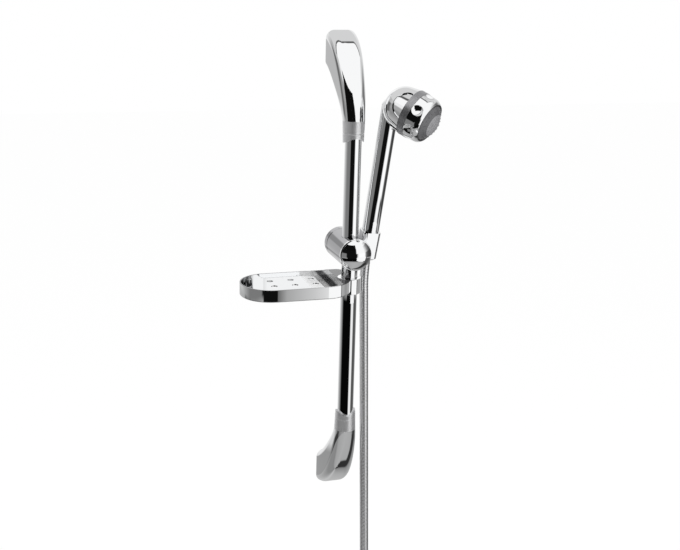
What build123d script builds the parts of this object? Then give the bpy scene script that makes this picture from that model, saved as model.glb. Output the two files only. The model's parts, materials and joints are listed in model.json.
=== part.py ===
from build123d import *
import os
from math import acos, asin, atan2, cos, degrees, pi, radians, sin, sqrt, tan

# Hand shower set on a wall slide rail: a rail between two sculpted wall brackets, a sliding holder with a
# clamp knob and a side cup, a soap dish on the same rail, and a ball-headed hand shower on a metal hose.
# Millimetres. The wall is the plane Y = 0, the room is on -Y, +X is to the right seen from the room, +Z is up.
# The origin is the middle of the four wall-fixing holes.

os.makedirs("parts", exist_ok=True)

# Rail
standoff = 72.0
rail_d = 25.0
rail_wall = 1.5
rail_visible = 422.0
rail_r = rail_d / 2
rail_bore_r = rail_r - rail_wall

# Collars at the rail's ends
collar_length = 34.0
collar_r = 16.75
collar_tip_r = 15.6
collar_scallop_r = 21.0
collar_scallop_depth = 8.5
collar_groove_at = 15.0
collar_groove = 0.6
collar_screw_r = 2.0
collar_tip_z = rail_visible / 2
collar_end_z = collar_tip_z + collar_length

# Wall brackets
bracket_rise = 125.0
flange_width = 48.0
flange_height = 58.0
flange_corner = 13.0
outer_bulge = 1.55
inner_bulge = 1.22
width_falloff = 1.5
section_angles = (0, 22.5, 45, 67.5, 90)
hollow_angles = section_angles[:4]
round_end_share = 0.97
bracket_wall = 4.5

# Wall plates in the mouths of the hollow brackets, with the fixing holes
plate_thickness = 8.0
hole_r = 2.75
hole_spacing = 22.0
hole_drop = 30.0
lock_screw_r = 2.5
lock_screw_bite = 3.0
lock_screw_sink = 1.0
hole_z = collar_end_z + bracket_rise - hole_drop

# Plugs that join the rail to the brackets
plug_length = 30.0
plug_stud_r = 5.0
plug_stud_length = 12.0

# Slider
slider_z = 47.0
slider_r = 24.5
slider_front = 25.0
slider_back = 40.0
cap_length = 15.0
cap_groove = 1.0
cap_rounding = 2.0
rail_gap = 0.4
bush_wall = 2.0
bush_run = 0.05
slider_bush_length = 30.0
bush_slit = 3.0
bush_r = rail_r + bush_run
bush_outer_r = bush_r + bush_wall

# Clamp knob
trim_thickness = 4.0
trim_hole_gap = 0.4
knob_r = 23.4
knob_skirt = 2.0
knob_dome = 11.0
knob_gap = 0.3
stud_r = 4.0
stud_run = 0.05
shoe_r = 6.0
shoe_thickness = 4.0
shoe_gap = 0.1

# Cup of the slider, on the right of the rail and leaning with the hand shower
yaw = 41.0
lean = 8.0
cup_x = 31.5
cup_rise = 29.5
cup_width = 28.4
cup_foot_width = 26.4
cup_corner = 7.0
cup_height = 44.5
cup_foot_bevel = 3.0
cone_r = 12.2
cone_foot_r = 10.2
cone_length = 36.0
cone_run = 0.05
cup_slot = 15.5
cup_slot_bearing = 45.0

# Hand shower
handle_r = 13.0
handle_length = 193.5
water_r = 8.5
water_tube_wall = 2.0
water_tube_length = 130.0
spigot_above = 12.0
spigot_below = 14.0
spigot_bore_r = 5.0
washer_thickness = 2.0
head_drop = 22.5
head_rise = 8.0
head_reach = 36.3
dome_r = 32.5
dome_rim_r = 35.2
dome_back = 11.0
dome_shell = 4.5
window_r = 17.8
window_back = 2.0
window_rise = 13.0
window_depth = 2.0
band_r = 35.4
band_width = 11.0
housing_back = 2.0
housing_front = 9.0
spindle_r = 6.0
spindle_end = 33.0
spindle_run = 0.05
port_count = 3
port_r = 4.0
port_circle_r = 18.0
seal_r = 1.1
seal_circle_r = 26.0
selector_gap = 0.3
selector_r = 35.2
selector_mid_r = 34.4
selector_lip_r = 29.5
selector_mid = 23.0
selector_end = 33.0
selector_bore_r = 23.8
scallop_count = 7
scallop_phase = -5.0
scallop_r = 14.0
scallop_depth = 3.2
scallop_at = 21.0
face_r = 27.3
face_back = 28.5
face_dome_r = 37.0
face_dome_at = 7.0
disc_r = 17.0
hub_r = 10.0
hub_back = 14.0
nozzle_r = 1.1
nozzle_tip_r = 0.55
nozzle_height = 1.2
nozzle_sink = 0.3
ring_nozzle_tilt = 37.0
ring_nozzle_count = 20
disc_nozzle_tilts = (21.5, 15.0, 8.0)
disc_nozzle_counts = (14, 9, 5)

# Hose, with its route in points chosen by hand and the spare length in a tied coil below
hose_d = 14.0
hose_bore_d = 8.0
hose_lead = 65.5
arc_share = 0.45
hose_foot = (47.7, -67.3, -649.0)
coil_r = 72.0
coil_turns = 2
coil_pitch = 14.6
tail_length = 62.0
tie_width = 10.0
tie_thickness = 1.4
tie_gap = 0.3
nut_r = 12.5
nut_length = 20.0
nut_overlap = 10.0
nut_bevel = 1.5
nut_washer = 2.0
nut_washer_lip = 0.5
hose_r = hose_d / 2
hose_bore_r = hose_bore_d / 2

# Soap dish
dish_top = 5.0
dish_width = 92.0
dish_reach = 170.0
dish_height = 19.0
dish_wall = 2.0
dish_floor = 2.0
dish_corner = 1.5
web_from_rail = 20.0
web_thickness = 3.0
heel_to_rail = -2.0
heel_corner = 12.0
dish_collar_r = 18.0
dish_collar_height = 24.0
dish_collar_lip = 2.0
dish_collar_bevel = 0.5
dish_slit = 2.5
dish_screw_r = 2.5
drain_r = 5.0
drain_columns = 3
drain_rows = 2
drain_pitch = 33.0
drain_row_pitch = 60.0


def disc(plane, radius, bore=0.0):
    """A round profile on a plane, with a bore if one is given."""
    with BuildSketch(plane) as profile:
        Circle(radius)
        if bore:
            Circle(bore, mode=Mode.SUBTRACT)
    return profile.sketch


def turned(plane, points):
    """Half of a turned outline: points are (radius, height) about the plane's own axis."""
    side = Plane(plane.origin, x_dir=plane.x_dir, z_dir=-plane.y_dir)
    with BuildSketch(side) as profile:
        with BuildLine():
            Polyline(*points, close=True)
        make_face()
    return profile.sketch


def axis_of(plane):
    return Axis(plane.origin, plane.z_dir)


def keep(builder, name):
    """Names a finished piece and writes it."""
    builder.part.label = name
    export_step(builder.part, f"parts/{name}.step")


def keep_pair(builder, name):
    """Writes the upper piece and its mirror image at the other end of the rail."""
    keep(builder, f"top_{name}")
    with BuildPart() as lower:
        mirror(builder.part, about=Plane.XY)
    keep(lower, f"bottom_{name}")


# Frames of the moving groups
rail_plane = Plane((0, -standoff, 0))
slider_plane = Plane((0, -standoff, slider_z), x_dir=(1, 0, 0), z_dir=(0, -1, 0))
dish_plane = Plane((0, -standoff, dish_top), x_dir=(1, 0, 0), z_dir=(0, 0, -1))
side_dir = Vector(cos(radians(yaw)), sin(radians(yaw)), 0)
forward_dir = Vector(sin(radians(yaw)), -cos(radians(yaw)), 0)
up_dir = Vector(0, 0, 1)
handle_dir = forward_dir * sin(radians(lean)) + up_dir * cos(radians(lean))
head_dir = forward_dir * cos(radians(head_drop)) - up_dir * sin(radians(head_drop))
cup_rim = Vector(cup_x, -standoff, slider_z + cup_rise)
handle_plane = Plane(cup_rim, x_dir=side_dir, z_dir=handle_dir)
head_origin = cup_rim + handle_dir * (handle_length + head_rise) + head_dir * head_reach
head_plane = Plane(head_origin, x_dir=side_dir, z_dir=head_dir)
head_side = Plane(head_origin, x_dir=side_dir, z_dir=-head_plane.y_dir)

# Rail
with BuildPart() as riser_rail:
    extrude(disc(rail_plane.offset(-collar_end_z), rail_r, rail_bore_r), amount=2 * collar_end_z)
keep(riser_rail, "riser_rail")


# Brackets: rounded sections that swing from the wall round to the collar


def bulged(reach, rise, bulge, angle):
    """A point of a bulging curve from the wall (0, rise) to the rail (reach, 0)."""
    return (
        reach * sin(radians(angle)) ** (2 / bulge),
        rise * cos(radians(angle)) ** (2 / bulge),
    )


def bracket_section(angle, inset=0.0):
    """The bracket's rounded section between its outer and its inner curve, drawn inside by an inset."""
    out_y, out_z = bulged(standoff + collar_r, bracket_rise, outer_bulge, angle)
    in_y, in_z = bulged(standoff - collar_r, bracket_rise - flange_height, inner_bulge, angle)
    outer = Vector(0, -out_y, collar_end_z + out_z)
    inner = Vector(0, -in_y, collar_end_z + in_z)
    across = outer - inner
    wall_share = cos(radians(angle)) ** width_falloff
    width = 2 * collar_r + (flange_width - 2 * collar_r) * wall_share
    end_corner = collar_r * round_end_share
    corner = end_corner + (flange_corner - end_corner) * wall_share
    plane = Plane((outer + inner) / 2, x_dir=(1, 0, 0), z_dir=Vector(1, 0, 0).cross(across))
    with BuildSketch(plane) as section:
        RectangleRounded(width - 2 * inset, across.length - 2 * inset, corner - inset)
    return section.sketch


hole_plane = Plane((0, 0, hole_z), x_dir=(1, 0, 0), z_dir=(0, -1, 0))
plate_foot_z = collar_end_z + bracket_rise - flange_height + bracket_wall
lock_plane = Plane((0, -plate_thickness / 2, plate_foot_z + lock_screw_bite), z_dir=(0, 0, -1))
lock_screw_length = lock_screw_bite + bracket_wall - lock_screw_sink
collar_end_plane = rail_plane.offset(collar_end_z)

with BuildPart() as bracket_room:
    loft([bracket_section(angle, bracket_wall) for angle in hollow_angles])

with BuildPart() as bracket:
    loft([bracket_section(angle) for angle in section_angles])
    add(bracket_room.part, mode=Mode.SUBTRACT)
    extrude(disc(lock_plane, lock_screw_r), amount=flange_height, mode=Mode.SUBTRACT)
    extrude(disc(collar_end_plane, plug_stud_r), amount=plug_stud_length, mode=Mode.SUBTRACT)
keep_pair(bracket, "bracket")

with BuildPart() as wall_plate:
    add(bracket_room.part)
    split(bisect_by=hole_plane.offset(plate_thickness), keep=Keep.BOTTOM)
    with BuildSketch(hole_plane):
        with GridLocations(hole_spacing, 0, 2, 1):
            Circle(hole_r)
    extrude(amount=plate_thickness, mode=Mode.SUBTRACT)
    extrude(disc(lock_plane, lock_screw_r), amount=flange_height, mode=Mode.SUBTRACT)
keep_pair(wall_plate, "wall_plate")

with BuildPart() as lock_screw:
    extrude(disc(lock_plane, lock_screw_r), amount=lock_screw_length)
keep_pair(lock_screw, "lock_screw")

with BuildPart() as rail_plug:
    extrude(disc(collar_end_plane, rail_bore_r), amount=-plug_length)
    extrude(disc(collar_end_plane, plug_stud_r), amount=plug_stud_length)
keep_pair(rail_plug, "rail_plug")

# Collars: tapered sleeves, hollowed at the rail side so that two tips stand at the left and the right
groove_r = collar_tip_r + (collar_r - collar_tip_r) * collar_groove_at / collar_length
scallop_plane = Plane(
    (0, 0, collar_tip_z + collar_scallop_depth - collar_scallop_r), x_dir=(1, 0, 0), z_dir=(0, -1, 0)
)
collar_screw_plane = Plane(
    (0, -standoff + rail_r, collar_tip_z + (collar_groove_at + collar_length) / 2),
    x_dir=(1, 0, 0),
    z_dir=(0, 1, 0),
)
collar_outline = [
    (rail_r, 0),
    (collar_tip_r, 0),
    (groove_r, collar_groove_at - collar_groove),
    (groove_r - collar_groove, collar_groove_at),
    (groove_r, collar_groove_at + collar_groove),
    (collar_r, collar_length),
    (rail_r, collar_length),
]
with BuildPart() as collar:
    revolve(turned(rail_plane.offset(collar_tip_z), collar_outline), axis_of(rail_plane))
    extrude(disc(scallop_plane, collar_scallop_r), amount=2 * standoff, mode=Mode.SUBTRACT)
    extrude(disc(collar_screw_plane, collar_screw_r), amount=collar_r, mode=Mode.SUBTRACT)
keep_pair(collar, "collar")

with BuildPart() as collar_screw:
    extrude(disc(collar_screw_plane, collar_screw_r), amount=collar_tip_r - rail_r)
keep_pair(collar_screw, "collar_screw")


# Bushes: split sleeves that run on the rail inside the slider and inside the dish's collar


def split_bush(middle, length):
    """A split sleeve on the rail with its slit at the back."""
    plane = rail_plane.offset(middle - length / 2)
    with BuildPart() as bush:
        extrude(disc(plane, bush_outer_r, bush_r), amount=length)
        with BuildSketch(plane):
            with Locations((0, bush_outer_r)):
                Rectangle(bush_slit, 2 * bush_wall + bush_slit)
        extrude(amount=length, mode=Mode.SUBTRACT)
    return bush


def bush_seat(middle, length):
    """The room that a bush and the rail need in the piece around them."""
    with BuildPart() as seat:
        extrude(disc(rail_plane.offset(middle - length / 2), bush_outer_r + bush_run), amount=length)
        extrude(disc(rail_plane.offset(middle), rail_r + rail_gap), amount=2 * slider_r, both=True)
    return seat.part


slider_bush = split_bush(slider_z, slider_bush_length)
keep(slider_bush, "slider_bush")

dish_bush_length = dish_collar_height - 2 * dish_collar_lip
dish_middle = dish_top - dish_collar_height / 2
dish_bush = split_bush(dish_middle, dish_bush_length)
keep(dish_bush, "dish_bush")

# Slider body: a round body across the rail, with the cup on its right
shoe_back = bush_outer_r + bush_run
shoe_front = shoe_back + shoe_thickness
cup_plane = Plane(cup_rim, x_dir=handle_dir.cross(Vector(0, -1, 0)), z_dir=handle_dir)
cup_steps = [
    (0, cup_width),
    (cup_foot_bevel - cup_height, cup_foot_width),
    (-cup_height, cup_foot_width - 2 * cup_foot_bevel),
]
cone_slope = (cone_r - cone_foot_r) / cone_length
cup_room = [
    (0, 0),
    (cone_r + cone_run, 0),
    (cone_r + cone_run - cone_slope * cup_height, -cup_height),
    (0, -cup_height),
]


def cup_section(height, width):
    """The cup's rounded square at a height on its axis, with a flat to the front."""
    with BuildSketch(cup_plane.offset(height)) as section:
        RectangleRounded(width, width, cup_corner * width / cup_width)
    return section.sketch


with BuildPart() as slider_body:
    extrude(disc(slider_plane.offset(-slider_back), slider_r), amount=slider_back + slider_front)
    loft([cup_section(height, width) for height, width in cup_steps], ruled=True)
    revolve(turned(handle_plane, cup_room), axis_of(handle_plane), mode=Mode.SUBTRACT)
    with BuildSketch(cup_plane):
        with PolarLocations(cup_width / 2, 1, start_angle=cup_slot_bearing):
            Rectangle(cup_width, cup_slot)
    extrude(amount=-cup_height, mode=Mode.SUBTRACT)
    add(bush_seat(slider_z, slider_bush_length), mode=Mode.SUBTRACT)
    extrude(disc(slider_plane, shoe_r), amount=shoe_front, mode=Mode.SUBTRACT)
    extrude(disc(slider_plane, stud_r + stud_run), amount=slider_front, mode=Mode.SUBTRACT)
keep(slider_body, "slider_body")

cap_outline = [
    (0, 0),
    (slider_r - cap_groove, 0),
    (slider_r - cap_groove, cap_groove),
    (slider_r, 2 * cap_groove),
    (slider_r, cap_length - cap_rounding),
    (slider_r - cap_rounding, cap_length),
    (0, cap_length),
]
cap_plane = Plane((0, -standoff + slider_back, slider_z), x_dir=(1, 0, 0), z_dir=(0, 1, 0))
with BuildPart() as slider_cap:
    revolve(turned(cap_plane, cap_outline), axis_of(cap_plane))
keep(slider_cap, "slider_cap")

with BuildPart() as brake_shoe:
    extrude(disc(slider_plane, shoe_r), amount=shoe_front)
    extrude(disc(rail_plane, shoe_back), amount=2 * slider_z, mode=Mode.SUBTRACT)
keep(brake_shoe, "brake_shoe")

trim_plane = slider_plane.offset(slider_front)
with BuildPart() as knob_trim:
    extrude(disc(trim_plane, slider_r, stud_r + trim_hole_gap), amount=trim_thickness)
    chamfer(knob_trim.edges().filter_by(GeomType.CIRCLE).sort_by(SortBy.RADIUS)[-2:], knob_gap)
keep(knob_trim, "knob_trim")

knob_plane = trim_plane.offset(trim_thickness + knob_gap)
knob_side = Plane(knob_plane.origin, x_dir=knob_plane.x_dir, z_dir=-knob_plane.y_dir)
with BuildPart() as clamp_knob:
    with BuildSketch(knob_side):
        with BuildLine():
            Line((0, 0), (knob_r, 0))
            Line((knob_r, 0), (knob_r, knob_skirt))
            dome_bow = (knob_r**2 + knob_dome**2) / (2 * knob_dome)
            RadiusArc((knob_r, knob_skirt), (0, knob_skirt + knob_dome), -dome_bow)
            Line((0, knob_skirt + knob_dome), (0, 0))
        make_face()
    revolve(axis=axis_of(knob_plane))
keep(clamp_knob, "clamp_knob")

stud_start = shoe_front + shoe_gap
stud_length = slider_front + trim_thickness + knob_gap - stud_start
with BuildPart() as clamp_stud:
    extrude(disc(slider_plane.offset(stud_start), stud_r), amount=stud_length)
keep(clamp_stud, "clamp_stud")

# Soap dish: a stadium tray whose rail end runs into a round clamp collar
tray_r = dish_width / 2
tray_far = -dish_reach + tray_r
tray_near = -tray_r


def tray_outline(inset, height):
    """The tray's outline at a depth below the rim, drawn inside by an inset: a stadium with a heel at the back."""
    heel_right = -heel_to_rail - inset
    heel_back = tray_r - inset
    with BuildSketch(Plane((0, -standoff, dish_top - height))) as outline:
        with Locations(((tray_far + tray_near) / 2, 0)):
            SlotCenterToCenter(tray_near - tray_far, dish_width - 2 * inset)
        with Locations(((tray_near + heel_right) / 2, heel_back / 2)):
            Rectangle(heel_right - tray_near, heel_back)
        heel = outline.vertices().sort_by_distance((heel_right, heel_back))[0]
        fillet(heel, heel_corner - inset)
    return outline.sketch


dish_floor_depth = dish_height - dish_floor
web_edge = Plane((-web_from_rail, -standoff, 0), z_dir=(1, 0, 0))
with BuildPart() as tray_room:
    extrude(tray_outline(dish_wall, dish_floor_depth), amount=dish_floor_depth)
    split(bisect_by=web_edge, keep=Keep.BOTTOM)
with BuildPart() as heel_room:
    extrude(tray_outline(dish_wall, dish_height), amount=dish_height - web_thickness)
    split(bisect_by=web_edge.offset(dish_wall), keep=Keep.TOP)
    extrude(disc(dish_plane, dish_collar_r + dish_wall), amount=dish_height, mode=Mode.SUBTRACT)

with BuildPart() as soap_tray:
    extrude(tray_outline(0, dish_height), amount=dish_height)
    fillet(soap_tray.faces().sort_by(Axis.Z)[0].edges(), dish_corner)
    add(tray_room.part, mode=Mode.SUBTRACT)
    add(heel_room.part, mode=Mode.SUBTRACT)
    extrude(disc(dish_plane, dish_collar_r), amount=dish_height, mode=Mode.SUBTRACT)
    with BuildSketch(Plane(((tray_far - web_from_rail) / 2 - drain_r, -standoff, dish_top - dish_height))):
        with GridLocations(drain_pitch, drain_row_pitch, drain_columns, drain_rows):
            Circle(drain_r)
    extrude(amount=dish_height, mode=Mode.SUBTRACT)
keep(soap_tray, "soap_tray")

dish_screw_plane = Plane(
    (0, -standoff + bush_outer_r + bush_run, dish_middle), x_dir=(1, 0, 0), z_dir=(0, 1, 0)
)
with BuildPart() as dish_collar:
    extrude(disc(dish_plane, dish_collar_r), amount=dish_collar_height)
    chamfer(dish_collar.edges(), dish_collar_bevel)
    add(bush_seat(dish_middle, dish_bush_length), mode=Mode.SUBTRACT)
    with BuildSketch(dish_plane):
        with Locations((dish_collar_r, 0)):
            Rectangle(2 * (dish_collar_r - rail_r), dish_slit)
    extrude(amount=dish_collar_height, mode=Mode.SUBTRACT)
    extrude(disc(dish_screw_plane, dish_screw_r), amount=dish_collar_r, mode=Mode.SUBTRACT)
keep(dish_collar, "dish_collar")

with BuildPart() as dish_screw:
    extrude(disc(dish_screw_plane, dish_screw_r), amount=dish_collar_r - bush_outer_r)
    extrude(disc(dish_plane, bush_outer_r + shoe_gap), amount=dish_collar_height, mode=Mode.SUBTRACT)
    extrude(disc(dish_plane, 2 * dish_collar_r, dish_collar_r - bush_run), amount=dish_collar_height,
            mode=Mode.SUBTRACT)
keep(dish_screw, "dish_screw")


# Handle and back shell of the hand shower in one casting, with a round window on each side of the shell


def dome(inset):
    """A ball behind the band that widens smoothly to the band's rear edge, drawn inside by an inset."""
    ball_r = dome_r - inset
    rim_r = dome_rim_r - inset
    rim_distance = sqrt(rim_r**2 + dome_back**2)
    touch = degrees(atan2(dome_back, rim_r) - acos(ball_r / rim_distance))
    with BuildPart() as half:
        with BuildSketch(head_side):
            with BuildLine():
                ball = CenterArc((0, -dome_back), ball_r, -90, 90 + touch)
                Polyline(ball @ 1, (rim_r, 0), (0, 0), ball @ 0)
            make_face()
        revolve(axis=axis_of(head_plane))
    return half.part


dome_outside = dome(0)
dome_room = dome(dome_shell)
window_floor = dome(window_depth)
window_middle = head_origin - head_dir * window_back + head_plane.y_dir * window_rise
window_plane = Plane(window_middle, x_dir=head_dir, z_dir=side_dir)
band_bore_r = dome_rim_r - dome_shell
with BuildPart() as handle_shell:
    extrude(disc(handle_plane, handle_r), amount=handle_length)
    with Locations(handle_plane.offset(handle_length)):
        Sphere(handle_r)
    add(dome_outside)
    extrude(disc(window_plane, window_r), amount=2 * dome_r, both=True, mode=Mode.SUBTRACT)
    add(window_floor)
    add(dome_room, mode=Mode.SUBTRACT)
    extrude(disc(handle_plane, water_r), amount=handle_length, mode=Mode.SUBTRACT)
keep(handle_shell, "handle_shell")

with BuildPart() as water_tube:
    extrude(disc(handle_plane.offset(spigot_above), water_r, water_r - water_tube_wall), amount=water_tube_length)
keep(water_tube, "water_tube")

with BuildPart() as inlet_spigot:
    extrude(disc(handle_plane.offset(-spigot_below), water_r, spigot_bore_r), amount=spigot_below + spigot_above)
keep(inlet_spigot, "inlet_spigot")

washer_end = spigot_below + washer_thickness
with BuildPart() as inlet_washer:
    extrude(disc(handle_plane.offset(-washer_end), water_r, spigot_bore_r), amount=washer_thickness)
keep(inlet_washer, "inlet_washer")

# Head pieces along the head's axis, from the band's rear edge to the spray face
with BuildPart() as grip_band:
    extrude(disc(head_plane, band_r, band_bore_r), amount=band_width)
keep(grip_band, "grip_band")

with BuildPart() as diverter:
    extrude(disc(head_plane.offset(housing_back), band_bore_r), amount=housing_front - housing_back)
    extrude(disc(head_plane.offset(housing_front), spindle_r), amount=spindle_end - housing_front)
    with BuildSketch(head_plane):
        with PolarLocations(port_circle_r, port_count):
            Circle(port_r)
    extrude(amount=housing_front, mode=Mode.SUBTRACT)
keep(diverter, "diverter")

with BuildPart() as head_seal:
    with Locations(head_plane.offset(housing_front + seal_r)):
        Torus(seal_circle_r, seal_r)
keep(head_seal, "head_seal")

selector_back = band_width + selector_gap
face_dome_middle = head_plane.origin + head_dir * face_dome_at


def on_face(radius):
    """The domed spray face's height at a radius."""
    return face_dome_at + sqrt(face_dome_r**2 - radius**2)


def nozzle_planes(tilt, count):
    """Planes on the spray face, in a circle that leans from its axis by a tilt."""
    planes = []
    for number in range(count):
        turn = 2 * pi * number / count
        outward = head_plane.x_dir * cos(turn) + head_plane.y_dir * sin(turn)
        normal = head_dir * cos(radians(tilt)) + outward * sin(radians(tilt))
        planes.append(Plane(face_dome_middle + normal * (face_dome_r - nozzle_sink), z_dir=normal))
    return planes


with BuildPart() as selector_ring:
    with BuildSketch(head_side):
        with BuildLine():
            Line((selector_r, selector_back), (selector_mid_r, selector_mid))
            TangentArc((selector_mid_r, selector_mid), (selector_lip_r, selector_end), tangent=(0, 1))
            Polyline(
                (selector_lip_r, selector_end),
                (face_r, selector_end),
                (face_r, face_back),
                (selector_bore_r, face_back),
                (selector_bore_r, selector_back),
                (selector_r, selector_back),
            )
        make_face()
    revolve(axis=axis_of(head_plane))
    with Locations(head_plane.offset(scallop_at)):
        scallop_circle_r = selector_mid_r + scallop_r - scallop_depth
        with PolarLocations(scallop_circle_r, scallop_count, start_angle=scallop_phase):
            Sphere(scallop_r, mode=Mode.SUBTRACT)
keep(selector_ring, "selector_ring")

with BuildPart() as face_ring:
    with BuildSketch(head_side):
        with BuildLine():
            Polyline(
                (disc_r, on_face(disc_r)), (disc_r, face_back), (face_r, face_back), (face_r, on_face(face_r))
            )
            RadiusArc((face_r, on_face(face_r)), (disc_r, on_face(disc_r)), -face_dome_r)
        make_face()
    revolve(axis=axis_of(head_plane))
    with Locations(*nozzle_planes(ring_nozzle_tilt, ring_nozzle_count)):
        Cone(nozzle_r, nozzle_tip_r, nozzle_height, align=(Align.CENTER, Align.CENTER, Align.MIN))
keep(face_ring, "face_ring")

with BuildPart() as nozzle_disc:
    with BuildSketch(head_side):
        with BuildLine():
            Polyline(
                (0, on_face(0)),
                (0, spindle_end + selector_gap),
                (spindle_r + spindle_run, spindle_end + selector_gap),
                (spindle_r + spindle_run, hub_back),
                (hub_r, hub_back),
                (hub_r, face_back),
                (disc_r, face_back),
                (disc_r, on_face(disc_r)),
            )
            RadiusArc((disc_r, on_face(disc_r)), (0, on_face(0)), -face_dome_r)
        make_face()
    revolve(axis=axis_of(head_plane))
    for tilt, count in zip(disc_nozzle_tilts, disc_nozzle_counts):
        with Locations(*nozzle_planes(tilt, count)):
            Cone(nozzle_r, nozzle_tip_r, nozzle_height, align=(Align.CENTER, Align.CENTER, Align.MIN))
keep(nozzle_disc, "nozzle_disc")

# Hose: the conical nut in the cup, the hanging run, and the tied coil with its tail and end nut
cone_outline = [
    (water_r, 0),
    (cone_r, 0),
    (cone_foot_r, -cone_length),
    (hose_r, -cone_length),
    (hose_r, -washer_end),
    (water_r, -washer_end),
]
with BuildPart() as hose_cone:
    revolve(turned(handle_plane, cone_outline), axis_of(handle_plane))
keep(hose_cone, "hose_cone")

hose_start = cup_rim - handle_dir * washer_end
hose_runs = [hose_start, cup_rim - handle_dir * hose_lead, Vector(*hose_foot)]
run_lengths = [(b - a).length for a, b in zip(hose_runs, hose_runs[1:])]
turn_angle = radians((hose_runs[1] - hose_runs[0]).get_angle(hose_runs[2] - hose_runs[1]))
turn_radius = arc_share * min(run_lengths) / tan(turn_angle / 2)
with BuildPart() as hose:
    with BuildLine() as hose_path:
        FilletPolyline(*hose_runs, radius=turn_radius)
    with BuildSketch(Plane(hose_path.line @ 0, z_dir=hose_path.line % 0)):
        Circle(hose_r)
        Circle(hose_bore_r, mode=Mode.SUBTRACT)
    sweep()
keep(hose, "hose")

foot_dir = (hose_runs[2] - hose_runs[1]).normalized()
foot_tilt = asin(foot_dir.X)
coil_middle = Vector(
    hose_foot[0] - coil_r * cos(foot_tilt),
    hose_foot[1] - coil_turns * coil_pitch / 2,
    hose_foot[2] - coil_r * sin(foot_tilt),
)
coil_plane = Plane(coil_middle, x_dir=(1, 0, 0), z_dir=(0, -1, 0))
coil_side = Plane(coil_middle, x_dir=(1, 0, 0), z_dir=(0, 0, 1))
with BuildPart() as hose_coil:
    with BuildSketch(coil_side):
        with Locations((coil_r, 0)):
            SlotCenterToCenter(coil_turns * coil_pitch, hose_d, rotation=90)
    revolve(axis=axis_of(coil_plane))
keep(hose_coil, "hose_coil")

with BuildPart() as coil_tie:
    with BuildSketch(coil_side.offset(-tie_width / 2)):
        with Locations((coil_r, 0)):
            tie_inside = hose_d + 2 * tie_gap
            SlotCenterToCenter(coil_turns * coil_pitch, tie_inside + 2 * tie_thickness, rotation=90)
            SlotCenterToCenter(coil_turns * coil_pitch, tie_inside, rotation=90, mode=Mode.SUBTRACT)
    extrude(amount=tie_width)
keep(coil_tie, "coil_tie")

tail_start = coil_middle + Vector(coil_r, -coil_turns * coil_pitch / 2, 0)
tail_plane = Plane(tail_start, x_dir=(1, 0, 0), z_dir=(0, 0, -1))
with BuildPart() as hose_tail:
    extrude(disc(tail_plane, hose_r, hose_bore_r), amount=tail_length + nut_overlap)
keep(hose_tail, "hose_tail")

nut_bore_r = nut_r - 2 * nut_bevel
end_washer_r = nut_bore_r + nut_washer_lip
washer_seat = tail_plane.offset(tail_length + nut_overlap)
nut_outline = [
    (hose_r, tail_length),
    (nut_r - nut_bevel, tail_length),
    (nut_r, tail_length + nut_bevel),
    (nut_r, tail_length + nut_length - nut_bevel),
    (nut_r - nut_bevel, tail_length + nut_length),
    (nut_bore_r, tail_length + nut_length),
    (nut_bore_r, tail_length + nut_overlap + nut_washer),
    (end_washer_r, tail_length + nut_overlap + nut_washer),
    (end_washer_r, tail_length + nut_overlap),
    (hose_r, tail_length + nut_overlap),
]
with BuildPart() as end_nut:
    revolve(turned(tail_plane, nut_outline), axis_of(tail_plane))
keep(end_nut, "end_nut")

with BuildPart() as end_washer:
    extrude(disc(washer_seat, end_washer_r, hose_bore_r), amount=nut_washer)
keep(end_washer, "end_washer")

# The cord's radii and length
hanging = sum(edge.length for edge in hose_path.line.edges())
coiled = coil_turns * sqrt((2 * pi * coil_r) ** 2 + coil_pitch**2)
print("hose turn radius", round(turn_radius), "coil radius", coil_r)
print("hose length", round(hanging + coiled + tail_length + nut_overlap))
print("hose tube volume", round(hose.part.volume), "section times length",
      round(pi * (hose_r**2 - hose_bore_r**2) * hanging))
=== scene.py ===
import json
from math import asin, cos, pi, radians, sin, tan

import bpy
from mathutils import Matrix, Vector


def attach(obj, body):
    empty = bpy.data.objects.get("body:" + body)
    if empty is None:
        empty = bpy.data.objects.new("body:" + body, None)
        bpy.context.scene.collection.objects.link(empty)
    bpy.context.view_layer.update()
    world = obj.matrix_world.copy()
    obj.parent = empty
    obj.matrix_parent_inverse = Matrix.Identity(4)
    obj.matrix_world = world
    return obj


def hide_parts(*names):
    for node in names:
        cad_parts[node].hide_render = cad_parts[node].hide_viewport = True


# Hand shower set on a wall slide rail, in metres. The wall is the plane Y = 0 and the room is on -Y.

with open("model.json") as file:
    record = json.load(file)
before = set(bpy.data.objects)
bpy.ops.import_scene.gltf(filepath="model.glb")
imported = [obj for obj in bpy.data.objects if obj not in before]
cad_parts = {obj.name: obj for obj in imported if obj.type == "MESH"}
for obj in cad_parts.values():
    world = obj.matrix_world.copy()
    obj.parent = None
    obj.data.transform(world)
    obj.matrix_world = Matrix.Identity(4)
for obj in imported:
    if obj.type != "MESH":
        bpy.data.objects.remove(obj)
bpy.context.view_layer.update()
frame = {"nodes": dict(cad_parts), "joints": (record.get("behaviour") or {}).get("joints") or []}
nodes = frame["nodes"]
scene = bpy.context.scene
scene.view_settings.view_transform = "Standard"

# Camera
view_azimuth = radians(-17.716)
view_elevation = radians(16.253)
view_roll = radians(1.572)
view_distance = 1.786
view_target = Vector((-0.0110, -0.0600, 0.0051))
photo_width_px = 680
focal_px = 1163.0
sensor_width_mm = 36.0

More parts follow.
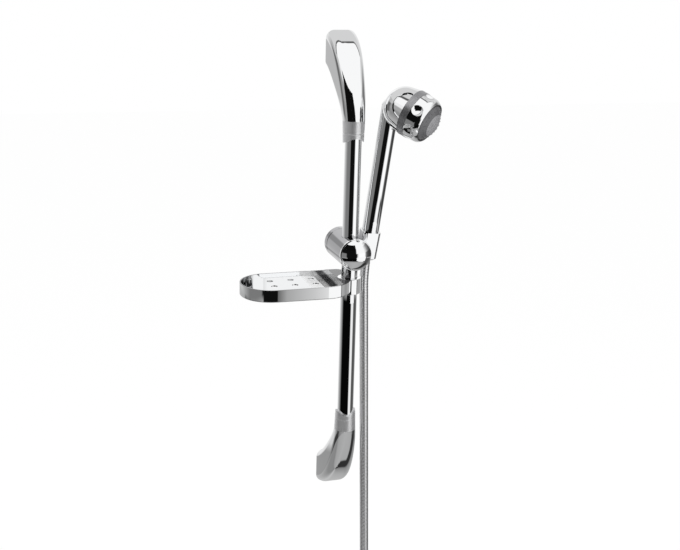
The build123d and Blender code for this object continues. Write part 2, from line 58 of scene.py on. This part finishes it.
# Hose: the route's points from the cone down to the coil, and the ribs of its skin
hose_d = 0.014
hose_start = Vector((0.030039, -0.070319, 0.060656))
hose_lead = Vector((0.025519, -0.065120, 0.011637))
hose_foot = Vector((0.0477, -0.0673, -0.6490))
hose_sides = 20
curve_order = 3
curve_steps = 12
coil_r = 0.072
coil_turns = 2
coil_pitch = 0.0146
coil_steps = 32
tail_length = 0.072
rib_pitch = 0.0025
rib_depth = 0.0004
rings_per_rib = 6
groove_sharpness = 3

# Colours
mirror_grey = (0.93, 0.935, 0.94)
painted_shade_grey = (0.42, 0.42, 0.43)
# Painted shade: a darker grey on mirror plating, on the slider below its edge along X and on the dish's
# rim
collar_grey = (0.78, 0.78, 0.79)
band_grey = (0.36, 0.36, 0.37)
rib_grey = (0.95, 0.95, 0.96)
# Painted shade: a darker grey in the hose's grooves
painted_groove_shade = (0.72, 0.72, 0.73)
steel_grey = (0.55, 0.55, 0.56)
aluminium_grey = (0.66, 0.66, 0.67)
brass_yellow = (0.71, 0.52, 0.22)
# Painted reflections on the dish's flat faces towards the rail: a pale band, then a dark band next to
# the rail
painted_pale_reflection = (0.95, 0.95, 0.95)
painted_dark_reflection = (0.12, 0.12, 0.125)
nylon_whites = ((0.75, 0.75, 0.72), (0.82, 0.82, 0.79))
dark_face_greys = ((0.10, 0.10, 0.105), (0.14, 0.14, 0.145))
light_face_greys = ((0.27, 0.27, 0.28), (0.33, 0.33, 0.34))
rubber_blacks = ((0.015, 0.015, 0.015), (0.03, 0.03, 0.03))

# Roughness, from and to
mirror_rough = (0.008, 0.025)
plated_rough = (0.01, 0.03)
ribbed_rough = (0.18, 0.26)
brushed_rough = (0.3, 0.4)
turned_rough = (0.25, 0.4)
cast_rough = (0.35, 0.5)
face_rough = (0.35, 0.5)
plastic_rough = (0.4, 0.55)
rubber_rough = (0.5, 0.7)

# How metallic the finishes are that aren't all metal
collar_metallic = 0.8
band_metallic = 0.9
hose_metallic = 0.96
# How metallic the dish's painted reflection bands are
painted_reflection_metallic = 0.3

# Grain of the plastics and the lines of the brushed plating, as noise scales
brush_lines = 2600.0
nylon_grain = 1200.0
face_grain = 1500.0
rubber_grain = 900.0
noise_ends = (0.3, 0.7)

# Edges of the painted shade and the painted reflections: along X on the slider and the dish, and the
# dish's rim as a share of its height
slider_edge = (0.016, 0.018)
rim_edge = (0.985, 0.975)
painted_reflection_edge = (-0.058, -0.050)
painted_dark_reflection_edge = (-0.029, -0.025)
flat_from = 0.9

# Studio: a round wall of lit and dark cards that only reflections see, with (azimuth, level) stops
studio_middle = Vector((0.0, -0.072, 0.0))
studio_r = 0.85
studio_floor_z = -0.78
studio_top_z = 0.88
studio_azimuths = (-180, 180)
full_turn = 360
quarter_turn = 90
wall_sides = 96
bottom_stops = [
    (-180, 0.42), (-135, 0.24), (-124, 0.04), (-88, 0.03), (-76, 0.20), (-50, 0.30), (0, 0.35),
    (50, 0.38), (68, 0.25), (76, 0.04), (104, 0.04), (115, 0.20), (150, 0.35),
]
lower_stops = [
    (-180, 0.85), (-165, 0.78), (-150, 0.61), (-120, 0.33), (-105, 0.17), (-94, 0.002), (16, 0.002),
    (24, 0.90), (52, 0.90), (60, 0.10), (92, 0.08), (120, 0.20), (150, 0.60),
]
dish_stops = [
    (-180, 0.55), (-118, 0.40), (-116, 0.02), (-107, 0.02), (-105, 0.14), (-70, 0.28), (-46, 0.42),
    (-44, 0.005), (5, 0.005), (7, 0.40), (12, 0.65), (16, 1.0), (44, 1.0), (50, 0.40), (58, 0.01),
    (68, 0.01), (74, 0.45), (96, 0.30), (150, 0.60),
]
upper_stops = [
    (-180, 0.90), (-165, 0.82), (-150, 0.69), (-120, 0.43), (-105, 0.30), (-93, 0.20), (-52, 0.20),
    (-47, 0.005), (8, 0.005), (12, 0.50), (16, 0.90), (20, 1.05), (55, 1.05), (61, 0.50), (68, 0.12),
    (88, 0.04), (112, 0.05), (130, 0.20), (150, 0.60),
]
bracket_stops = [
    (-180, 0.60), (-165, 0.52), (-140, 0.46), (-128, 0.14), (-112, 0.13), (-102, 0.30), (-84, 0.35),
    (-79, 0.005), (3, 0.005), (7, 1.0), (52, 1.0), (64, 0.65), (76, 0.25), (92, 0.08), (108, 0.12),
    (120, 0.45), (138, 1.1), (174, 1.1),
]
crown_stops = [
    (-180, 1.0), (-165, 0.97), (-150, 0.80), (-136, 0.45), (-128, 0.14), (-112, 0.13), (-102, 0.35),
    (-84, 0.40), (-79, 0.005), (3, 0.005), (7, 1.0), (52, 1.0), (64, 0.65), (76, 0.30), (92, 0.12),
    (104, 0.30), (116, 0.70), (150, 0.85),
]
high_stops = [
    (-180, 1.0), (-150, 0.80), (-128, 0.45), (-100, 0.60), (-80, 0.90), (-60, 1.0), (60, 1.0),
    (84, 0.60), (120, 0.70),
]
studio_fades = [
    ((-0.645, -0.615), lower_stops), ((-0.295, -0.280), dish_stops), ((-0.240, -0.225), upper_stops),
    ((0.10, 0.14), bracket_stops), ((0.30, 0.34), crown_stops), ((0.58, 0.66), high_stops),
]
flag_azimuths = (-78, 3)
flag_r = 0.40
flag_heights = (0.20, 0.57)
flag_level = 0.004
card_azimuths = (8, 60)
card_r = 0.25
card_heights = (-0.11, -0.01)
card_level = 1.0

# Floor, sky with (depth, level) stops, and lamps with their places and powers
floor_size = 14.0
floor_level = 0.9
floor_rough = 0.9
floor_glow = 0.82
floor_white = 1.05
floor_stops = [
    (-180, 0.55), (-165, 0.50), (-140, 0.36), (-120, 0.26), (-90, 0.22), (-70, 0.38), (0, 0.44),
    (62, 0.40), (70, 0.03), (100, 0.03), (110, 0.25), (140, 0.42), (165, 0.50),
]
sky_ends = (-1.0, 1.0)
sky_stops = [(-1.0, 1.0), (0.07, 1.0), (0.09, 0.10), (0.14, 0.10), (0.17, 0.68)]
ambient_level = 0.80
lamp_size = 1.2
lamps = [("key_lamp", (-0.9, -1.5, 1.3), 12.0), ("fill_lamp", (1.3, -1.0, 0.6), 5.0)]


def make_camera():
    """The photograph's view of the set."""
    back = Vector((
        sin(view_azimuth) * cos(view_elevation),
        -cos(view_azimuth) * cos(view_elevation),
        sin(view_elevation),
    ))
    level = Vector((cos(view_azimuth), sin(view_azimuth), 0.0))
    upright = back.cross(level)
    right = level * cos(view_roll) + upright * sin(view_roll)
    up = upright * cos(view_roll) - level * sin(view_roll)
    place = view_target + back * view_distance
    data = bpy.data.cameras.new("camera")
    data.sensor_width = sensor_width_mm
    data.lens = focal_px * sensor_width_mm / photo_width_px
    camera = bpy.data.objects.new("camera", data)
    scene.collection.objects.link(camera)
    camera.matrix_world = Matrix.Translation(place) @ Matrix((right, up, back)).transposed().to_4x4()
    scene.camera = camera


# Node helpers, and the places of a colour mix's sockets
mix_first = 6
mix_second = 7
mix_result = 2


def new_material(name):
    """A node material and its shader."""
    material = bpy.data.materials.new(name)
    material.use_nodes = True
    return material, material.node_tree, material.node_tree.nodes["Principled BSDF"]


def set_inputs(tree, node, inputs):
    """Sets a node's inputs to values, or links them from sockets."""
    for key, value in inputs.items():
        if isinstance(value, bpy.types.NodeSocket):
            tree.links.new(value, node.inputs[key])
        else:
            node.inputs[key].default_value = value


def add_node(tree, kind, inputs=None, **settings):
    """A node with its settings and inputs."""
    node = tree.nodes.new(kind)
    for key, value in settings.items():
        setattr(node, key, value)
    set_inputs(tree, node, inputs or {})
    return node


def opaque(color):
    return (*color, 1.0)


def grey(level):
    return (level, level, level, 1.0)


def place_of(tree):
    return add_node(tree, "ShaderNodeTexCoord").outputs["Object"]


def part_along(tree, vector, axis):
    return add_node(tree, "ShaderNodeSeparateXYZ", {"Vector": vector}).outputs[axis]


def calculate(tree, operation, first, second):
    return add_node(tree, "ShaderNodeMath", {0: first, 1: second}, operation=operation).outputs["Value"]


def map_range(tree, value, ends, results=(0.0, 1.0)):
    """A value between two ends, mapped to between two results."""
    node = add_node(tree, "ShaderNodeMapRange", {
        "Value": value,
        "From Min": ends[0], "From Max": ends[1],
        "To Min": results[0], "To Max": results[1],
    })
    return node.outputs["Result"]


def mix_colors(tree, share, first, second):
    inputs = {"Factor": share, mix_first: first, mix_second: second}
    return add_node(tree, "ShaderNodeMix", inputs, data_type="RGBA").outputs[mix_result]


def mix_shaders(tree, share, first, second):
    return add_node(tree, "ShaderNodeMixShader", {"Fac": share, 1: first, 2: second}).outputs["Shader"]


def noise(tree, vector, scale, detail, results=(0.0, 1.0)):
    """Noise that is spread between two results."""
    texture = add_node(tree, "ShaderNodeTexNoise", {"Vector": vector, "Scale": scale, "Detail": detail})
    return map_range(tree, texture.outputs["Fac"], noise_ends, results)


def bump(tree, height, strength, distance):
    inputs = {"Height": height, "Strength": strength, "Distance": distance}
    return add_node(tree, "ShaderNodeBump", inputs).outputs["Normal"]


# Materials


def chrome(name, color, rough):
    """Polished plating: a faint haze that varies, and the slight waviness of a polished casting."""
    material, tree, shader = new_material(name)
    place = place_of(tree)
    waves = noise(tree, place, scale=55.0, detail=1.0)
    set_inputs(tree, shader, {
        "Base Color": opaque(color),
        "Metallic": 1.0,
        "Roughness": noise(tree, place, scale=40.0, detail=4.0, results=rough),
        "Normal": bump(tree, waves, strength=0.05, distance=0.00006),
    })
    return material


def plating_with_painted_shade(name, space, axis, edge):
    """Plating with painted shade, a darker grey, before an edge along an axis, and polished after it."""
    material = chrome(name, mirror_grey, plated_rough)
    tree = material.node_tree
    place = add_node(tree, "ShaderNodeTexCoord").outputs[space]
    side = map_range(tree, part_along(tree, place, axis), edge)
    color = mix_colors(tree, side, opaque(painted_shade_grey), opaque(mirror_grey))
    set_inputs(tree, tree.nodes["Principled BSDF"], {"Base Color": color})
    return material


def paint_tray_reflections(material):
    """Paints reflections on a tray's flat faces towards the rail: a pale painted reflection first, and a
    dark painted reflection next to the rail.
    """
    tree = material.node_tree
    shader = tree.nodes["Principled BSDF"]
    plating = shader.inputs["Base Color"].links[0].from_socket
    coordinates = add_node(tree, "ShaderNodeTexCoord").outputs
    across = part_along(tree, coordinates["Object"], "X")
    upward = part_along(tree, coordinates["Normal"], "Z")
    flat = calculate(tree, "GREATER_THAN", upward, flat_from)
    share = calculate(tree, "MULTIPLY", map_range(tree, across, painted_reflection_edge), flat)
    near_rail = map_range(tree, across, painted_dark_reflection_edge)
    # The painted reflection's grey: pale, then dark next to the rail
    painted_reflection_grey = mix_colors(tree, near_rail, opaque(painted_pale_reflection), opaque(painted_dark_reflection))
    set_inputs(tree, shader, {
        "Base Color": mix_colors(tree, share, plating, painted_reflection_grey),
        "Metallic": map_range(tree, share, (0.0, 1.0), (1.0, painted_reflection_metallic)),
    })
    return material


def satin(name, color, axis, metallic):
    """Brushed plating with fine lines around an axis."""
    material, tree, shader = new_material(name)
    place = place_of(tree)
    along = add_node(tree, "ShaderNodeVectorMath", {0: place, 1: axis}, operation="DOT_PRODUCT")
    inputs = {"W": along.outputs["Value"], "Scale": brush_lines, "Detail": 3.0}
    lines = add_node(tree, "ShaderNodeTexNoise", inputs, noise_dimensions="1D")
    set_inputs(tree, shader, {
        "Base Color": opaque(color),
        "Metallic": metallic,
        "Roughness": noise(tree, place, scale=300.0, detail=3.0, results=brushed_rough),
        "Normal": bump(tree, lines.outputs["Fac"], strength=0.25, distance=0.0001),
    })
    return material


def moulded(name, colors, rough, grain):
    """Moulded plastic or rubber with a fine grain."""
    material, tree, shader = new_material(name)
    place = place_of(tree)
    dark, light = colors
    clouds = noise(tree, place, scale=90.0, detail=3.0)
    grains = noise(tree, place, scale=grain, detail=2.0)
    set_inputs(tree, shader, {
        "Base Color": mix_colors(tree, clouds, opaque(dark), opaque(light)),
        "Roughness": noise(tree, place, scale=200.0, detail=3.0, results=rough),
        "Normal": bump(tree, grains, strength=0.2, distance=0.0001),
    })
    return material


def plain_metal(name, color, rough):
    """Turned or cast metal of the hidden and small pieces."""
    material, tree, shader = new_material(name)
    place = place_of(tree)
    grains = noise(tree, place, scale=900.0, detail=3.0)
    set_inputs(tree, shader, {
        "Base Color": opaque(color),
        "Metallic": 1.0,
        "Roughness": noise(tree, place, scale=150.0, detail=4.0, results=rough),
        "Normal": bump(tree, grains, strength=0.15, distance=0.0001),
    })
    return material


def hose_metal(name):
    """Wound metal strip: bright on the ribs, with painted shade in the grooves."""
    material, tree, shader = new_material(name)
    place = place_of(tree)
    groove = add_node(tree, "ShaderNodeAttribute", attribute_name="groove").outputs["Fac"]
    grains = noise(tree, place, scale=400.0, detail=2.0)
    set_inputs(tree, shader, {
        # The groove attribute paints shade into the grooves
        "Base Color": mix_colors(tree, groove, opaque(rib_grey), opaque(painted_groove_shade)),
        "Metallic": hose_metallic,
        "Roughness": noise(tree, place, scale=260.0, detail=3.0, results=ribbed_rough),
        "Normal": bump(tree, grains, strength=0.05, distance=0.00003),
    })
    return material


# Hose


def coil_points():
    """The corners of the round coil's turns: the curve touches the coil's circle between them."""
    run = (hose_foot - hose_lead).normalized()
    tilt = asin(run.x)
    middle = hose_foot - Vector((coil_r * cos(tilt), 0.0, coil_r * sin(tilt)))
    step = (2 * pi * coil_turns + tilt) / coil_steps
    corner_r = coil_r / cos(step / 2)
    corner_lead = coil_r * tan(step / 2)
    points = [hose_foot - run * corner_lead]
    for index in range(coil_steps):
        turned = index + 0.5
        angle = tilt - turned * step
        forward = coil_turns * coil_pitch * turned / coil_steps
        points.append(middle + Vector((corner_r * cos(angle), -forward, corner_r * sin(angle))))
    tail = middle + Vector((coil_r, -coil_turns * coil_pitch, 0.0))
    points.append(tail - Vector((0.0, 0.0, corner_lead)))
    points.append(tail - Vector((0.0, 0.0, tail_length)))
    return points


def hose_route():
    """The hose's line as points read from one smooth curve."""
    first_run = (hose_lead - hose_start).length
    after_lead = hose_lead + (hose_foot - hose_lead).normalized() * first_run
    corners = [hose_start, hose_lead, after_lead, *coil_points()]
    data = bpy.data.curves.new("hose_line", "CURVE")
    data.dimensions = "3D"
    spline = data.splines.new("NURBS")
    spline.points.add(len(corners) - 1)
    for point, corner in zip(spline.points, corners):
        point.co = (*corner, 1.0)
    spline.order_u = curve_order
    spline.use_endpoint_u = True
    spline.resolution_u = curve_steps
    line = bpy.data.objects.new("hose_line", data)
    mesh = bpy.data.meshes.new_from_object(line)
    points = [vertex.co.copy() for vertex in mesh.vertices]
    bpy.data.meshes.remove(mesh)
    bpy.data.objects.remove(line)
    bpy.data.curves.remove(data)
    return points


def even_points(points, step):
    """Points at equal steps along a line of points, with the direction at each."""
    found = []
    left = 0.0
    for start, end in zip(points, points[1:]):
        run = end - start
        while left <= run.length:
            found.append((start + run.normalized() * left, run.normalized()))
            left += step
        left -= run.length
    return found


def make_hose(material):
    """A tube of wound ribs along the hose's line."""
    route = hose_route()
    step = rib_pitch / rings_per_rib
    rings = even_points(route, step)
    vertices = []
    grooves = []
    side = rings[0][1].cross(Vector((0.0, 1.0, 0.0))).normalized()
    for index, (middle, along) in enumerate(rings):
        side = (side - along * side.dot(along)).normalized()
        other = along.cross(side)
        for corner in range(hose_sides):
            turn = corner / hose_sides
            wave = 0.5 - 0.5 * cos(2 * pi * (index / rings_per_rib + turn))
            groove = wave ** groove_sharpness
            reach = hose_d / 2 - rib_depth * groove
            outward = side * cos(2 * pi * turn) + other * sin(2 * pi * turn)
            vertices.append(middle + outward * reach)
            grooves.append(groove)
    faces = []
    for ring in range(len(rings) - 1):
        for corner in range(hose_sides):
            after = (corner + 1) % hose_sides
            low = ring * hose_sides
            high = low + hose_sides
            faces.append((low + corner, low + after, high + after, high + corner))
    faces.append(tuple(reversed(range(hose_sides))))
    faces.append(tuple(range(len(vertices) - hose_sides, len(vertices))))
    mesh = bpy.data.meshes.new("hose_skin")
    mesh.from_pydata(vertices, [], faces)
    # The groove attribute also carries the painted shade in the hose's grooves
    mesh.attributes.new("groove", "FLOAT", "POINT").data.foreach_set("value", grooves)
    mesh.shade_smooth()
    mesh.materials.append(material)
    hose = bpy.data.objects.new("hose_skin", mesh)
    hose.visible_glossy = False
    scene.collection.objects.link(hose)
    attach(hose, "hand_shower")
    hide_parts("hose", "hose_coil", "hose_tail")


# Stage


def level_ramp(tree, value, stops):
    """Grey levels along a value from 0 to 1."""
    ramp = add_node(tree, "ShaderNodeValToRGB", {"Fac": value})
    elements = ramp.color_ramp.elements
    elements.remove(elements[-1])
    for number, (position, level) in enumerate(sorted(stops)):
        element = elements[0] if number == 0 else elements.new(position)
        element.position = position
        element.color = grey(level)
    return ramp.outputs["Color"]


def studio_ramp(tree, angle, stops):
    """Card levels round the studio. Azimuth 0 is the front and a quarter turn is the right."""
    places = [((azimuth + quarter_turn) % full_turn / full_turn, level) for azimuth, level in stops]
    return level_ramp(tree, angle, places)


def azimuth_of(tree, place):
    gradient = add_node(tree, "ShaderNodeTexGradient", {"Vector": place}, gradient_type="RADIAL")
    return gradient.outputs["Fac"]


def show_in_reflections_only(thing):
    thing.visible_camera = False
    thing.visible_diffuse = False
    thing.visible_shadow = False
    thing.visible_transmission = False


def ring_wall(name, radius, heights, azimuths, material):
    """A round wall about the studio's middle that only reflections see, between two azimuths."""
    vertices = []
    for z in heights:
        for side in range(wall_sides + 1):
            azimuth = azimuths[0] + (azimuths[1] - azimuths[0]) * side / wall_sides
            turn = radians(azimuth - quarter_turn)
            vertices.append((radius * cos(turn), radius * sin(turn), z))
    row = wall_sides + 1
    faces = [(side, side + 1, row + side + 1, row + side) for side in range(wall_sides)]
    mesh = bpy.data.meshes.new(name)
    mesh.from_pydata(vertices, [], faces)
    mesh.materials.append(material)
    wall = bpy.data.objects.new(name, mesh)
    wall.location = studio_middle
    scene.collection.objects.link(wall)
    show_in_reflections_only(wall)


def glowing(name):
    """A material that only glows, and its glow."""
    material = bpy.data.materials.new(name)
    material.use_nodes = True
    tree = material.node_tree
    tree.nodes.clear()
    glow = add_node(tree, "ShaderNodeEmission")
    add_node(tree, "ShaderNodeOutputMaterial", {"Surface": glow.outputs["Emission"]})
    return material, tree, glow


def evenly_glowing(name, level):
    material, tree, glow = glowing(name)
    set_inputs(tree, glow, {"Color": grey(level)})
    return material


def make_studio():
    """The round wall of cards, a black flag at the front left and a white card at the front right."""
    cards, tree, glow = glowing("studio_cards")
    place = place_of(tree)
    angle = azimuth_of(tree, place)
    height = part_along(tree, place, "Z")
    level = studio_ramp(tree, angle, bottom_stops)
    for edge, stops in studio_fades:
        level = mix_colors(tree, map_range(tree, height, edge), level, studio_ramp(tree, angle, stops))
    set_inputs(tree, glow, {"Color": level})
    ring_wall("studio_cards", studio_r, (studio_floor_z, studio_top_z), studio_azimuths, cards)
    flag = evenly_glowing("black_flag", flag_level)
    ring_wall("black_flag", flag_r, flag_heights, flag_azimuths, flag)
    card = evenly_glowing("white_card", card_level)
    ring_wall("white_card", card_r, card_heights, card_azimuths, card)


def make_floor():
    """A floor that the camera sees white but for shadows, and reflections see in greys."""
    material, tree, shader = new_material("floor")
    set_inputs(tree, shader, {"Base Color": grey(floor_level), "Roughness": floor_rough})
    path = add_node(tree, "ShaderNodeLightPath").outputs
    levels = studio_ramp(tree, azimuth_of(tree, place_of(tree)), floor_stops)
    reflected = add_node(tree, "ShaderNodeEmission", {"Color": levels})
    white = add_node(tree, "ShaderNodeEmission", {"Color": grey(1.0), "Strength": floor_white})
    seen = calculate(tree, "MULTIPLY", path["Is Camera Ray"], floor_glow)
    lit = mix_shaders(tree, seen, shader.outputs["BSDF"], white.outputs["Emission"])
    surface = mix_shaders(tree, path["Is Glossy Ray"], lit, reflected.outputs["Emission"])
    set_inputs(tree, tree.nodes["Material Output"], {"Surface": surface})
    half = floor_size / 2
    mesh = bpy.data.meshes.new("floor")
    corners = [(-half, -half), (half, -half), (half, half), (-half, half)]
    mesh.from_pydata([(x, y, 0.0) for x, y in corners], [], [(0, 1, 2, 3)])
    mesh.materials.append(material)
    floor = bpy.data.objects.new("floor", mesh)
    floor.location = studio_middle + Vector((0.0, 0.0, studio_floor_z))
    scene.collection.objects.link(floor)


def background(tree, color, strength):
    inputs = {"Color": color, "Strength": strength}
    return add_node(tree, "ShaderNodeBackground", inputs).outputs["Background"]


def make_world():
    """White to the camera, an even light, and a white front, dark bar and grey back to reflections."""
    world = bpy.data.worlds.new("studio_sky")
    world.use_nodes = True
    tree = world.node_tree
    tree.nodes.clear()
    direction = add_node(tree, "ShaderNodeTexCoord").outputs["Generated"]
    depth = map_range(tree, part_along(tree, direction, "Y"), sky_ends)
    level = level_ramp(tree, depth, [((reach + 1) / 2, brightness) for reach, brightness in sky_stops])
    path = add_node(tree, "ShaderNodeLightPath").outputs
    reflected = calculate(tree, "MAXIMUM", path["Is Glossy Ray"], path["Is Transmission Ray"])
    even = background(tree, grey(1.0), ambient_level)
    sky = mix_shaders(tree, reflected, even, background(tree, level, 1.0))
    surface = mix_shaders(tree, path["Is Camera Ray"], sky, background(tree, grey(1.0), 1.0))
    add_node(tree, "ShaderNodeOutputWorld", {"Surface": surface})
    scene.world = world


def make_lamp(name, place, power):
    """A soft square lamp that looks at the set and stays out of its reflections."""
    data = bpy.data.lights.new(name, "AREA")
    data.size = lamp_size
    data.energy = power
    lamp = bpy.data.objects.new(name, data)
    lamp.location = place
    lamp.rotation_euler = (studio_middle - Vector(place)).to_track_quat("-Z", "Y").to_euler()
    lamp.visible_glossy = False
    scene.collection.objects.link(lamp)


def dress(material, *names):
    """Gives CAD nodes a material."""
    for name in names:
        mesh = nodes[name].data
        mesh.materials.clear()
        mesh.materials.append(material)


make_camera()
make_hose(hose_metal("ribbed_metal"))

rail_axis = (0, 0, 1)
head_axis = Vector(next(joint["axis"] for joint in frame["joints"] if joint["name"] == "selector_turn"))
dress(
    chrome("polished_chrome", mirror_grey, mirror_rough),
    "riser_rail", "top_bracket", "bottom_bracket", "knob_trim", "clamp_knob", "dish_collar",
    "handle_shell", "selector_ring", "hose_cone", "end_nut",
)
# The slider's plating carries painted shade, a darker grey, where X is below slider_edge
dress(plating_with_painted_shade("slider_plating_painted_shade", "Object", "X", slider_edge), "slider_body", "slider_cap")
# The dish's plating carries painted shade on its rim, and painted pale and dark reflections on its flat
# faces towards the rail
dress(paint_tray_reflections(plating_with_painted_shade("tray_plating_painted_reflections", "Generated", "Z", rim_edge)), "soap_tray")
dress(satin("satin_collars", collar_grey, rail_axis, collar_metallic), "top_collar", "bottom_collar")
dress(satin("satin_band", band_grey, head_axis, band_metallic), "grip_band")
dress(
    plain_metal("fixing_steel", steel_grey, turned_rough),
    "top_wall_plate", "bottom_wall_plate", "top_lock_screw", "bottom_lock_screw",
    "top_collar_screw", "bottom_collar_screw", "clamp_stud", "dish_screw",
)
dress(plain_metal("cast_aluminium", aluminium_grey, cast_rough), "top_rail_plug", "bottom_rail_plug")
dress(plain_metal("brass", brass_yellow, turned_rough), "inlet_spigot")
dress(
    moulded("white_nylon", nylon_whites, plastic_rough, nylon_grain),
    "slider_bush", "dish_bush", "brake_shoe", "water_tube", "diverter",
)
dress(moulded("dark_grey_face", dark_face_greys, face_rough, face_grain), "face_ring")
dress(moulded("light_grey_face", light_face_greys, plastic_rough, face_grain), "nozzle_disc")
dress(
    moulded("black_rubber", rubber_blacks, rubber_rough, rubber_grain),
    "inlet_washer", "head_seal", "end_washer", "coil_tie",
)

make_studio()
make_floor()
make_world()
for lamp_name, lamp_place, lamp_power in lamps:
    make_lamp(lamp_name, lamp_place, lamp_power)
